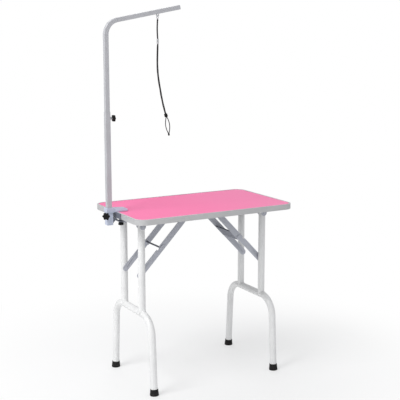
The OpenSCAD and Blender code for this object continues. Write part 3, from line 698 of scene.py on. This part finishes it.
def thread(place, z0, z1):
    """A threaded 8 mm rod from z0 to z1 along place's Z, in millimetres, with chamfered ends."""
    r = 4.0
    pitch = 1.25
    root = r - 0.61 * pitch
    chamfer = 0.5
    fades_over = 1.2
    starts_as = 0.82
    per_turn = 28
    rows = int((z1 - z0) / pitch * per_turn)
    columns = ((root, 0.06), (r, 0.44), (r, 0.56), (root, 0.94))
    core = [(root - chamfer, z0), (root, z0 + chamfer), (root, z1 - chamfer), (root - chamfer, z1)]
    verts, faces = revolve(core, place, per_turn)
    shift = len(verts)
    for i in range(rows + 1):
        a = 2 * math.pi * i / per_turn
        for reach, part in columns:
            z = z0 + (i / per_turn + part - 0.5) * pitch
            inside = min(max(z, z0 + 0.1), z1 - 0.1)
            from_end = min(inside - z0, z1 - inside)
            taper = min(1.0, from_end / fades_over + starts_as)
            here = max(reach * taper, root - 0.4) * MM
            verts.append(place @ Vector((here * math.cos(a), here * math.sin(a), inside * MM)))
    wide = len(columns)
    for i in range(rows):
        for k in range(wide - 1):
            a = shift + i * wide + k
            faces.append((a, a + 1, a + 1 + wide, a + wide))
    return verts, faces


def hand_knob(name, node, place, r, h, nut_width, nut_h):
    """A knob and the nut in its hub, standing for a CAD knob."""
    nut_depth = 1.4
    body = BODY_OF[node]
    verts, faces = lobed_knob(place, r, h)
    add_mesh(name, verts, faces, "knob", body, [node], 50)
    verts, faces = hex_cap(place @ Matrix.Translation((0, 0, (h - nut_depth) * MM)), nut_width, nut_h)
    add_mesh(name + "_nut", verts, faces, "knob", body, (), 30)


def threaded_screw(name, node, place, z0, z1):
    verts, faces = thread(place, z0, z1)
    add_mesh(name, verts, faces, "steel", BODY_OF[node], [node], 50)


def clamp_knob():
    """The knob under the clamp's lower jaw, its face downwards."""
    low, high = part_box("clamp_screw_knob")
    place = frame_at(Vector((middle("clamp_screw_knob").x, 0, high.z)), (0, 0, -1))
    knob_r = (high.x - low.x) / 2 / MM
    knob_h = (high.z - low.z) / MM
    hand_knob("clamp_hand_knob", "clamp_screw_knob", place, knob_r, knob_h, nut_width=5.5, nut_h=1.2)
    low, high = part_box("clamp_screw")
    spindle = frame_at(Vector((place.translation.x, 0, 0)), (0, 0, 1))
    threaded_screw("clamp_threaded_screw", "clamp_screw", spindle, low.z / MM, high.z / MM)


def post_knob():
    """The knob that locks the post in the clamp, facing the front left corner."""
    facing = Vector((-1, -1, 0)).normalized()
    starts_at = 29.0
    knob_h = 11.0
    screw_from = 15.7
    screw_to = 36.0
    low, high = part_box("post_lock_knob")
    post = middle("lower_post")
    centre = Vector((post.x, post.y, (low.z + high.z) / 2))
    place = frame_at(centre + facing * starts_at * MM, facing)
    knob_r = (high.z - low.z) / 2 / MM
    hand_knob("post_hand_knob", "post_lock_knob", place, knob_r, knob_h, nut_width=7.0, nut_h=1.3)
    threaded_screw("post_threaded_screw", "post_lock_screw", frame_at(centre, facing), screw_from, screw_to)


def arm_knob():
    """The knob that locks the arm in the post, facing the table."""
    low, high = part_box("arm_lock_knob")
    z = (low.z + high.z) / 2
    place = frame_at(Vector((low.x, 0, z)), (1, 0, 0))
    knob_r = (high.z - low.z) / 2 / MM
    knob_h = (high.x - low.x) / MM
    hand_knob("arm_hand_knob", "arm_lock_knob", place, knob_r, knob_h, nut_width=7.0, nut_h=1.3)
    low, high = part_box("arm_lock_screw")
    spindle = frame_at(Vector((0, 0, z)), (1, 0, 0))
    threaded_screw("arm_threaded_screw", "arm_lock_screw", spindle, low.x / MM, high.x / MM)


clamp_knob()
post_knob()
arm_knob()


# ---- Screws under the tabletop ----

def block(half_x, half_y, z0, z1, taper):
    """A box from z0 to z1 whose end at z1 is smaller by the share taper, in millimetres."""
    verts = []
    for z, share in ((z0, 1.0), (z1, taper)):
        for sx, sy in ((-1, -1), (1, -1), (1, 1), (-1, 1)):
            verts.append(Vector((sx * half_x * share * MM, sy * half_y * share * MM, z * MM)))
    faces = [(0, 1, 2, 3), (7, 6, 5, 4), (0, 4, 5, 1), (1, 5, 6, 2), (2, 6, 7, 3), (3, 7, 4, 0)]
    return verts, faces


def solid_object(name, verts, faces):
    """A new object whose faces all point outwards."""
    mesh = bpy.data.meshes.new(name)
    mesh.from_pydata([tuple(v) for v in verts], [], faces)
    bm = bmesh.new()
    bm.from_mesh(mesh)
    bmesh.ops.recalc_face_normals(bm, faces=bm.faces)
    bm.to_mesh(mesh)
    bm.free()
    obj = bpy.data.objects.new(name, mesh)
    bpy.context.scene.collection.objects.link(obj)
    return obj


def cross_head(r, h):
    """The vertices and faces of a pan head with a cross recess, facing -Z from its own origin."""
    brim = 0.3
    slot_half_w = 0.55
    slot_half_l = 2.1
    slot_depth = 1.3
    profile = [(r - brim, 0.0), (r, -brim)]
    for i in range(1, 8):
        a = math.radians(12 * i)
        profile.append((r * math.cos(a), -brim - (h - brim) * math.sin(a)))
    verts, faces = revolve(profile, Matrix(), 32)
    head = solid_object("head", verts, faces)
    made = [head]
    for half_x, half_y in ((slot_half_w, slot_half_l), (slot_half_l, slot_half_w)):
        made.append(solid_object("cutter", *block(half_x, half_y, -h - 0.5, -h + slot_depth, 0.6)))
    for cutter in made[1:]:
        cut = head.modifiers.new("cut", "BOOLEAN")
        cut.object = cutter
        cut.operation = "DIFFERENCE"
        cut.solver = "EXACT"
    bpy.context.view_layer.update()
    shape = head.evaluated_get(bpy.context.evaluated_depsgraph_get()).to_mesh()
    verts = [v.co.copy() for v in shape.vertices]
    faces = [tuple(p.vertices) for p in shape.polygons]
    for obj in made:
        bpy.data.objects.remove(obj)
    return verts, faces


def islands(node):
    """The lowest and highest corner of each separate solid of a CAD node."""
    bm = bmesh.new()
    bm.from_mesh(nodes[node].data)
    bmesh.ops.remove_doubles(bm, verts=bm.verts, dist=SAME_POINT)
    seen = set()
    boxes = []
    for start in bm.verts:
        if start.index in seen:
            continue
        stack = [start]
        island = []
        seen.add(start.index)
        while stack:
            v = stack.pop()
            island.append(v.co)
            for e in v.link_edges:
                w = e.other_vert(v)
                if w.index not in seen:
                    seen.add(w.index)
                    stack.append(w)
        low = Vector([min(c[axis] for c in island) for axis in range(3)])
        high = Vector([max(c[axis] for c in island) for axis in range(3)])
        boxes.append((low, high))
    bm.free()
    return boxes


def bracket_screws():
    """Each screw's place comes from the CAD node's own separate solids. Each cross is turned further."""
    head_h = 2.4
    turn = 0.9
    shank = [(1.2, 13.6), (1.5, 13.0), (1.5, 0.0)]
    head_verts, head_faces = cross_head(3.4, head_h)
    parts = []
    for i, (low, high) in enumerate(islands("bracket_screws")):
        spot = Vector(((low.x + high.x) / 2, (low.y + high.y) / 2, low.z + head_h * MM))
        place = Matrix.Translation(spot) @ Matrix.Rotation(i * turn, 4, "Z")
        parts.append(([place @ v for v in head_verts], head_faces))
        parts.append(revolve(shank, Matrix.Translation(spot), 16))
    verts, faces = join(parts)
    add_mesh("cross_head_screws", verts, faces, "steel", BODY_OF["bracket_screws"], ["bracket_screws"], 35)


bracket_screws()


# ---- Noose ----

CURVE_Z = 1484.0 * MM
CURVE_R = 820.0 * MM
CURVE_ANGLE = math.radians(18.4)
LOOP_LENGTH = 72.0 * MM
LOOP_BULGE = 8.0 * MM
LOOP_TILT = math.radians(8.0)
STRAND_R = 2.0 * MM
STRAND_GAP = 4.2 * MM


def sway(z, top):
    """How far the cords lean out of line below the ferrule, which dies away further down."""
    length = 200.0 * MM
    most = 3.0 * MM
    t = min(1.0, max(0.0, (top - z) / length))
    return most * math.sin(math.pi * t)


def noose_line(side):
    """One strand: out of the ferrule, down the curve, then round its half of the loop."""
    ferrule_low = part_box("noose_ferrule")[0].z
    start_z = ferrule_low + 3 * MM
    x = middle("noose_ferrule").x
    straight_steps = 12
    curve_steps = 70
    loop_steps = 30
    twist_size = 0.45 * MM
    twist_turn = 0.42
    points = []
    for i in range(straight_steps + 1):
        t = i / straight_steps
        z = start_z + (CURVE_Z - start_z) * t
        spread = min(1.0, 0.55 + t * 2)
        points.append(Vector((x + side * STRAND_GAP / 2 * spread - sway(z, ferrule_low), 0, z)))
    reach = CURVE_R - side * STRAND_GAP / 2
    for i in range(1, curve_steps + 1):
        a = CURVE_ANGLE * i / curve_steps
        twist = math.sin(i * twist_turn) * twist_size
        z = CURVE_Z - reach * math.sin(a)
        points.append(Vector((x + CURVE_R - reach * math.cos(a) - sway(z, ferrule_low), side * twist, z)))
    end = Vector((x + CURVE_R * (1 - math.cos(CURVE_ANGLE)), 0, CURVE_Z - CURVE_R * math.sin(CURVE_ANGLE)))
    down = Vector((math.sin(LOOP_TILT), 0, -math.cos(LOOP_TILT)))
    across = Vector((math.cos(LOOP_TILT), 0, math.sin(LOOP_TILT)))
    for i in range(1, loop_steps + 1):
        t = i / loop_steps
        wide = STRAND_GAP / 2 + LOOP_BULGE * math.sin(math.pi * t) ** 0.85
        points.append(end + down * (LOOP_LENGTH * t) + across * (side * wide))
    return points


def hanger_cord():
    """The cord from the ring to the ferrule, hanging slightly bowed."""
    ring_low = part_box("noose_ring")[0].z
    start_z = ring_low - 0.3 * MM
    end_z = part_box("noose_ferrule")[1].z - 3 * MM
    x = middle("noose_ferrule").x
    steps = 32
    bow = 2.0 * MM
    points = []
    for i in range(steps + 1):
        t = i / steps
        lean = math.sin(math.pi * t) * bow
        points.append(Vector((x - lean, 0, start_z + (end_z - start_z) * t)))
    verts, faces, uvs = tube_along(points, 3.2 * MM, 20)
    add_mesh("braided_hanger", verts, faces, "cord", "noose", ["noose_hanger_cord"], 60, uvs)


def strands():
    """Both strands of the noose. The near one stands for the CAD node of the pair."""
    for name, side in (("braided_strand_near", -1), ("braided_strand_far", 1)):
        verts, faces, uvs = tube_along(noose_line(side), STRAND_R, 16)
        stands_for = ["noose_cord"] if side < 0 else ()
        add_mesh(name, verts, faces, "cord", "noose", stands_for, 60, uvs)


def hanger_whipping():
    """A whipped collar of five turns round the top of the hanger cord."""
    start_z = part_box("noose_ring")[0].z - 7.2 * MM
    turn_h = 1.1
    profile = [(1.2, 0.0), (3.45, 0.3)]
    for i in range(5):
        profile += [(3.75, 0.9 + i * turn_h), (3.45, 1.4 + i * turn_h)]
    profile += [(3.3, 6.6), (1.2, 6.9)]
    place = Matrix.Translation((middle("noose_ferrule").x, 0, start_z))
    verts, faces = revolve(profile, place, 32)
    add_mesh("hanger_whipping", verts, faces, "cord", "noose", (), 60, [(0, 0)] * len(verts))


hanger_cord()
strands()
hanger_whipping()


def ferrule():
    """A crimped sleeve: slightly flattened, with pressed bands."""
    low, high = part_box("noose_ferrule")
    h = (high.z - low.z) / MM
    bands = 4
    first_band = 2.4
    flattened = 0.86
    profile = [(2.6, 0.6), (4.0, 0.0), (4.6, 0.5)]
    for i in range(bands):
        z = first_band + i * (h - 2 * first_band) / (bands - 1)
        profile += [(4.8, z - 1.6), (4.6, z - 1.0), (4.0, z - 0.6)]
        profile += [(4.0, z + 0.6), (4.6, z + 1.0), (4.8, z + 1.6)]
    profile += [(4.6, h - 0.5), (4.0, h), (2.6, h - 0.6)]
    centre = middle("noose_ferrule")
    verts, faces = revolve(profile, Matrix.Translation((centre.x, 0, low.z)), 40)
    for v in verts:
        v.y *= flattened
    add_mesh("crimped_ferrule", verts, faces, "steel", "noose", ["noose_ferrule"], 45)


ferrule()


def cord_lock():
    """The slider: a ribbed barrel with rolled rims, open through its middle for the cords."""
    slide_axis = Vector((-math.sin(CURVE_ANGLE), 0, math.cos(CURVE_ANGLE)))
    half_h = 7 * MM
    place = frame_at(middle("noose_slider") - slide_axis * half_h, slide_axis)
    profile = [(4.95, 13.4), (4.95, 0.6), (5.4, 0.0)]
    profile += round_corner(6.3, 1.4, 1.4, -90, 0)
    for i in range(4):
        z = 3.4 + i * 2.4
        profile += [(7.7, z - 0.8), (7.2, z - 0.4), (7.2, z + 0.4), (7.7, z + 0.8)]
    profile += round_corner(6.3, 12.6, 1.4, 0, 90)
    profile += [(5.4, 14.0)]
    verts, faces = revolve(profile + profile[:1], place, capped=False)
    add_mesh("cord_lock_barrel", verts, faces, "knob", BODY_OF["noose_slider"], ["noose_slider"], 40)


cord_lock()


def clasp():
    """The cord end: a rounded bead with a waist and a moulding line."""
    down = Vector((math.sin(LOOP_TILT), 0, -math.cos(LOOP_TILT)))
    top_up = 6.9 * MM
    place = frame_at(middle("noose_clasp") - down * top_up, down)
    profile = [(1.8, -1.2), (3.0, -1.0), (3.7, 0.2), (4.0, 1.8), (4.0, 3.2)]
    profile += [(3.3, 4.2), (3.3, 5.2), (4.0, 6.2), (4.0, 9.6)]
    profile += round_corner(2.4, 10.8, 1.6, 0, 90)
    profile += [(1.2, 12.4)]
    verts, faces = revolve(profile, place, 40)
    add_mesh("cord_end_bead", verts, faces, "knob", "noose", ["noose_clasp"], 50)


clasp()


# ---- Floor, light and camera ----

def floor():
    """A wide pale floor. Near the object it takes soft shadows, and further out it fades to plain white."""
    fade_from = 0.35
    fade_to = 1.5
    g = Graph("pale_floor")
    soft = g.noise(2.0, 2.0)
    base = g.mix(g.fade(soft, 0.3, 0.7), (0.90, 0.90, 0.90, 1), (0.92, 0.92, 0.92, 1))
    near = g.node("BsdfPrincipled", Base_Color=base, Roughness=0.9, Specular_IOR_Level=0.1)
    far = g.node("Emission", Color=(1, 1, 1, 1), Strength=1.0)
    place = g.node("SeparateXYZ", Vector=g.coords)
    x_squared = g.math("POWER", place.outputs["X"], 2.0)
    y_squared = g.math("POWER", place.outputs["Y"], 2.0)
    away = g.math("SQRT", g.math("ADD", x_squared, y_squared))
    seen = g.node("LightPath").outputs["Is Camera Ray"]
    fade = g.math("MULTIPLY", seen, g.fade(away, fade_from, fade_to, 0.50, 1.0))
    shader = g.node("MixShader", Fac=fade)
    g.tree.links.new(near.outputs["BSDF"], shader.inputs[1])
    g.tree.links.new(far.outputs["Emission"], shader.inputs[2])
    g.tree.links.new(shader.outputs["Shader"], g.output.inputs["Surface"])
    floor_r = 90.0
    bm = bmesh.new()
    bmesh.ops.create_circle(bm, cap_ends=True, segments=96, radius=floor_r)
    mesh = bpy.data.meshes.new("floor")
    bm.to_mesh(mesh)
    bm.free()
    obj = bpy.data.objects.new("floor", mesh)
    bpy.context.scene.collection.objects.link(obj)
    obj.data.materials.append(g.material)


floor()


def aim(name, data, target, azimuth, elevation, distance):
    """A light or camera that looks at target. Azimuth -90 is the left side, and 0 the front."""
    a = math.radians(azimuth)
    e = math.radians(elevation)
    away = Vector((math.sin(a) * math.cos(e), -math.cos(a) * math.cos(e), math.sin(e)))
    obj = bpy.data.objects.new(name, data)
    obj.location = target + away * distance
    obj.rotation_euler = away.to_track_quat("Z", "Y").to_euler()
    bpy.context.scene.collection.objects.link(obj)
    return obj


def softbox(name, azimuth, elevation, distance, size, power):
    """A square area light that looks at the middle of the object."""
    light = bpy.data.lights.new(name, "AREA")
    light.shape = "SQUARE"
    light.size = size
    light.energy = power
    aim(name, light, Vector((0, 0, 0.8)), azimuth, elevation, distance)


softbox("key_softbox", -78, 46, distance=4.2, size=1.8, power=105)
softbox("front_fill", -20, 25, distance=5.0, size=3.0, power=12)
softbox("back_rim", 165, 50, distance=4.5, size=2.5, power=30)


def world():
    """White where the camera looks straight at it, and a dimmer even sky for everything else."""
    sky_strength = 0.54
    made = bpy.data.worlds.new("studio")
    bpy.context.scene.world = made
    made.use_nodes = True
    tree = made.node_tree
    tree.nodes.clear()
    output = tree.nodes.new("ShaderNodeOutputWorld")
    path = tree.nodes.new("ShaderNodeLightPath")
    seen = tree.nodes.new("ShaderNodeBackground")
    seen.inputs["Color"].default_value = (1, 1, 1, 1)
    seen.inputs["Strength"].default_value = 1.0
    sky = tree.nodes.new("ShaderNodeBackground")
    sky.inputs["Color"].default_value = (0.97, 0.98, 1.0, 1)
    sky.inputs["Strength"].default_value = sky_strength
    pick = tree.nodes.new("ShaderNodeMixShader")
    tree.links.new(path.outputs["Is Camera Ray"], pick.inputs["Fac"])
    tree.links.new(sky.outputs["Background"], pick.inputs[1])
    tree.links.new(seen.outputs["Background"], pick.inputs[2])
    tree.links.new(pick.outputs["Shader"], output.inputs["Surface"])


world()


def camera():
    """The view from the front left, a little above the tabletop."""
    lens = bpy.data.cameras.new("camera")
    lens.lens = 81.4
    lens.sensor_width = 36
    lens.clip_end = 100
    target = Vector((0.0617, 0.0519, 0.8162))
    placed = aim("camera", lens, target, azimuth=-29.63, elevation=10.45, distance=4.329)
    bpy.context.scene.camera = placed


camera()
bpy.context.scene.view_settings.view_transform = "Standard"
